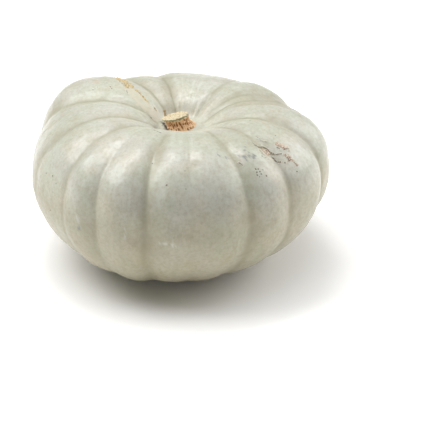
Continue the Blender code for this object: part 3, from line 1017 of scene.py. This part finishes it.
def stem_surface():
    """The stub's points, ring by ring, and what its material reads of each: pit, side, rim and height.

    The profile is turned round, and every point is then pushed out or in: out at the toe and the knobs,
    in at the pits and the undercut. Leaning and slanting come last, more the higher a point is.
    """
    line = smooth_profile(STEM_PROFILE, STEM_ROWS_PER_POINT) * MM
    turn = np.linspace(-math.pi, math.pi, STEM_COLUMNS, endpoint=False)
    azimuth = np.repeat(turn[None], len(line), axis=0)
    out = np.repeat(np.maximum(line[:, :1], 0), STEM_COLUMNS, axis=1)
    height = np.repeat(line[:, 1:], STEM_COLUMNS, axis=1)
    raw = np.stack([out * np.sin(azimuth), -out * np.cos(azimuth), height], axis=-1)
    fall, spread = -np.gradient(height, axis=0), np.gradient(out, axis=0)
    side = np.clip(fall / np.hypot(fall, spread), 0, 1) * ease(height, *SIDE_START_ZONE)
    side = side * (1 - ease(height, *SIDE_END_ZONE))
    cord = STEM_CORDS / 2 * azimuth + CORD_WANDER * waves(raw, *CORD_WAVES)
    between_cords = np.abs(np.cos(cord)) ** CORD_ROUNDNESS
    pit = between_cords * np.clip(base_plus(PIT_SHARES, waves(raw, *PIT_WAVES)), 0, 1) * side
    knobs = bell(height, *KNOB_BAND) * (1 - between_cords) * base_plus(KNOB_SHARES, waves(raw, *KNOB_WAVES))
    toe = bell(azimuth, *TOE_TURN) * bell(height, *TOE_BAND)
    under = bell(azimuth, *UNDERCUT_TURN) * bell(height, *UNDERCUT_BAND)
    grit = waves(raw, *GRIT_WAVES) * ease(out, *GRIT_ZONE) * base_plus(GRIT_SHARES, side)
    push = TOE_LENGTH * toe + KNOB_HEIGHT * knobs - PIT_DEPTH * pit - UNDERCUT_DEPTH * under
    push = push + GRIT_HEIGHT * grit
    out = np.maximum(out + push * ease(out, *PUSH_ZONE), 0)
    up = np.clip(height / STEM_TOP, 0, 1)
    x, y = out * np.sin(azimuth), -out * np.cos(azimuth)
    face = FACE_HEIGHT * waves(raw, *FACE_WAVES) * (1 - side) * up
    z = height + face + up * (CUT_SLOPE[0] * x + CUT_SLOPE[1] * y)
    points = np.stack([x + STEM_LEAN * up, y, z - STEM_SINK], axis=-1) + SEAT
    rim = ease(out, *RIM_ZONE) * bell(height + RIM_WANDER * waves(raw, *RIM_WAVES), *RIM_BAND)
    rim = rim * ease(-y, *RIM_FRONT_ZONE)
    return points, {"pit": pit, "side": side, "edge": rim, "rise": height / STEM_TOP}


stem_grid, stem_fields = stem_surface()
stem_mesh = surface_mesh("stem", stem_grid[1:-1], stem_grid[0, 0], stem_grid[-1, 0])
for name, values in stem_fields.items():
    keep_on_points(stem_mesh, **{name: with_poles(values[1:-1], values[[0, -1], 0])})
print("stem", np.round((stem_grid.reshape(-1, 3).max(0) - stem_grid.reshape(-1, 3).min(0)) / MM, 1), "mm")

# %% [markdown]
# Cork is matt and crumbly. The cut face is pale cream with brown grain, and keeps a rim of dried green
# skin at the front. The cords are tan, lighter at the foot and brown in the pits between them. A wood
# texture would show rings, which this stalk hasn't, so one fine noise breaks up all the colours.

# %% The stem's material
CUT_CREAM = paint(222, 210, 180)
CUT_BROWN = paint(186, 162, 118)
RIM_GREEN = paint(146, 142, 106)
CORD_LIGHT = paint(238, 202, 162)
CORD_TAN = paint(214, 164, 118)
PIT_BROWN = paint(154, 102, 58)
MATT = {"Roughness": 0.8}
CORK_NOISE = (1.4 * MM, 4.0)
CUT_SHARE = (0.40, 0.66, 0.0, 0.9)
CORD_SHARE = (0.35, 0.65)
FOOT_SHARE = (0.05, 0.3, 0.6, 0.0)
PIT_SHARE = (0.2, 0.75)
SIDE_SHARE = (0.1, 0.5)
RIM_BREAKS = (0.3, 0.5, 0.6)
RIM_SHARE = (0.25, 0.75)
CORK_DENTS = (0.7 * MM, 3.0)
CORK_DENT_DEPTH = 0.25 * MM


def make_cork_material():
    """Cream on the cut face with a green rim, tan on the cords, brown in the pits."""
    material, tree, shader = new_material("dry_cork", MATT)
    where = add(tree, "TexCoord").outputs["Object"]
    grain = noise(tree, where, *CORK_NOISE)
    cut = mix(tree, share(tree, grain, *CUT_SHARE), CUT_CREAM, CUT_BROWN)
    side = mix(tree, share(tree, grain, *CORD_SHARE), CORD_TAN, CORD_LIGHT)
    side = mix(tree, share(tree, field(tree, "rise"), *FOOT_SHARE), side, CORD_LIGHT)
    side = mix(tree, share(tree, field(tree, "pit"), *PIT_SHARE), side, PIT_BROWN)
    colour = mix(tree, share(tree, field(tree, "side"), *SIDE_SHARE), cut, side)
    rim = share(tree, times(tree, field(tree, "edge"), share(tree, grain, *RIM_BREAKS)), *RIM_SHARE)
    put(tree, shader.inputs["Base Color"], mix(tree, rim, colour, RIM_GREEN))
    put(tree, shader.inputs["Normal"], dents(tree, noise(tree, where, *CORK_DENTS), CORK_DENT_DEPTH))
    return material


cork_material = make_cork_material()
stem = add_piece("stem_stub", stem_mesh, cork_material)
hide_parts("stem")

# %% [markdown]
# Behind the cut, at the left, a thin dead point of the stalk still stands, greener than the stub and pale
# at its tip. It is a tube carried along a bent path, thick at its root inside the stub and with a small
# knob at its tip. A curve with a bevel would do as well, but its thickness would need a second curve.

# %% The dead point behind the cut
SPUR_PATH = [(-9.5, 4.0, 1.0), (-11.6, 4.9, 4.5), (-12.7, 5.6, 8.0), (-13.0, 6.0, 10.4), (-13.6, 6.3, 12.4)]
SPUR_RADII = [2.6, 1.6, 0.95, 0.75, 1.05]
SPUR_SIDES = 24
SPUR_STEPS = 14
SPUR_WAVES = (1.8 * MM, 12)
SPUR_GRIT = 0.16 * MM
SPUR_TIP = 0.5 * MM
SPUR_PIT = 0.3
SPUR_GREEN = 0.55


def tube_surface():
    """Rings of points round a smooth path: each ring stands square to the path's own direction."""
    line = smooth_profile(np.column_stack([SPUR_PATH, SPUR_RADII]), SPUR_STEPS) * MM
    centre, radius = line[:, :3], line[:, 3]
    along = np.gradient(centre, axis=0)
    along /= np.linalg.norm(along, axis=1, keepdims=True)
    first = np.cross(along, [0.0, 1.0, 0.0])
    first /= np.linalg.norm(first, axis=1, keepdims=True)
    second = np.cross(first, along)
    turn = np.linspace(0, math.tau, SPUR_SIDES, endpoint=False)
    ring = first[:, None] * np.cos(turn)[None, :, None] + second[:, None] * np.sin(turn)[None, :, None]
    return centre[:, None] + ring * radius[:, None, None]


# Turned over, so that the rings run from the tip down, as the mesh wants them.
spur_grid = tube_surface()[::-1] + SEAT
spur_grid = spur_grid + SPUR_GRIT * waves(spur_grid, *SPUR_WAVES)[..., None]
spur_mesh = surface_mesh("spur", spur_grid, spur_grid[0].mean(0) + [0, 0, SPUR_TIP], spur_grid[-1].mean(0))
spur_all = np.ones(len(spur_mesh.vertices))
from_tip = np.linspace(0.0, 1.0, len(spur_grid))[:, None] * np.ones(SPUR_SIDES)
from_tip = with_poles(from_tip, np.array([0, 1]))
keep_on_points(spur_mesh, side=spur_all, edge=SPUR_GREEN * spur_all)
keep_on_points(spur_mesh, pit=SPUR_PIT * (1 - from_tip), rise=from_tip)
spur = add_piece("stem_spur", spur_mesh, cork_material)

# %% [markdown]
# The fruit stands on a wide pale sheet. The table glows of itself, which is painted light: hardly at all
# close round the fruit and more a little further out, so that its shadow stays only close round the fruit,
# and more again far off, where no lamp reaches it. The walls are white to the eye but send out little
# light, or the grooves would lose their depth. A picture of a studio could give all the light, but then no
# lamp could be moved.

# %% Table and walls
TABLE_WIDTH = 12.0
TABLE_WHITE = paint(252, 252, 252)
TABLE = {"Roughness": 0.6, "Base Color": TABLE_WHITE, "Emission Color": TABLE_WHITE}
TABLE_PAINTED_GLOW = (0.03, 0.3)
PAINTED_GLOW_ZONE = (0.095, 0.165)
FAR_GLOW = 0.62
FAR_ZONE = (0.5, 2.5)
WALL_WHITE = paint(255, 255, 255)
WALL_STRENGTH = 0.06

table_mesh = bpy.data.meshes.new("table")
half = TABLE_WIDTH / 2
corners = [(-half, -half, 0), (half, -half, 0), (half, half, 0), (-half, half, 0)]
table_mesh.from_pydata(corners, [], [(0, 1, 2, 3)])
table_material, table_tree, table_shader = new_material("table_white", TABLE)
on_table = add(table_tree, "TexCoord").outputs["Object"]
from_fruit = add(table_tree, "VectorMath", {0: on_table}, operation="LENGTH").outputs["Value"]
# Painted light: the table glows little close round the fruit and more further out, which keeps its shadow
# close.
painted_glow = share(table_tree, from_fruit, *PAINTED_GLOW_ZONE, *TABLE_PAINTED_GLOW)
far_glow = share(table_tree, from_fruit, *FAR_ZONE, high=FAR_GLOW)
put(table_tree, table_shader.inputs["Emission Strength"], maths(table_tree, "ADD", painted_glow, far_glow))
table_mesh.materials.append(table_material)
table = bpy.data.objects.new("table", table_mesh)
bpy.context.scene.collection.objects.link(table)

world = bpy.data.worlds.new("white_studio")
world.use_nodes = True
walls = world.node_tree
walls.nodes["Background"].inputs["Color"].default_value = WALL_WHITE
looked_at = add(walls, "LightPath").outputs["Is Camera Ray"]
strength = maths(walls, "MULTIPLY_ADD", looked_at, 1 - WALL_STRENGTH, WALL_STRENGTH)
put(walls, walls.nodes["Background"].inputs["Strength"], strength)
bpy.context.scene.world = world
bpy.context.scene.view_settings.view_transform = "Standard"
print("table", TABLE_WIDTH, "m wide, walls at", WALL_STRENGTH, "of their look")

# %% [markdown]
# The main light is a soft box high at the left, which models the lobes. A broad one straight above fills
# the crown, a small one near it makes the two glossy spots beside the front groove, and two at the right
# keep that side from going dark. Points of light would give hard shadows, so all of them are areas.

# %% Lights
# Each light: its name, azimuth and elevation in degrees, distance, width and height in metres, and watts.
LIGHTS = [
    ("top_box", 0, 90, 1.5, 1.6, 1.6, 4.2),
    ("window_box", -155, 73, 1.6, 0.65, 0.5, 8.5),
    ("left_box", -95, 52, 1.5, 1.0, 1.0, 17.0),
    ("right_box", 85, 34, 1.5, 1.0, 1.0, 6.0),
    ("right_back_box", 118, 25, 1.5, 1.0, 1.0, 9.0),
]
LIGHT_AIM = Vector((0, 0, 0.08))


def soft_box(name, azimuth, elevation, distance, width, height, power):
    """A soft area light in a direction given by two angles, as the skin's are, facing the fruit."""
    turn, lift = math.radians(azimuth), math.radians(elevation)
    place = Vector((math.sin(turn) * math.cos(lift), -math.cos(turn) * math.cos(lift), math.sin(lift)))
    lamp = bpy.data.lights.new(name, "AREA")
    lamp.shape = "RECTANGLE"
    lamp.size, lamp.size_y = width, height
    lamp.energy = power
    box = bpy.data.objects.new(name, lamp)
    box.location = place * distance + LIGHT_AIM
    box.rotation_euler = (-place).to_track_quat("-Z", "Y").to_euler()
    bpy.context.scene.collection.objects.link(box)


for light in LIGHTS:
    soft_box(*light)
print(len(LIGHTS), "lights,", sum(light[-1] for light in LIGHTS), "watts in all")
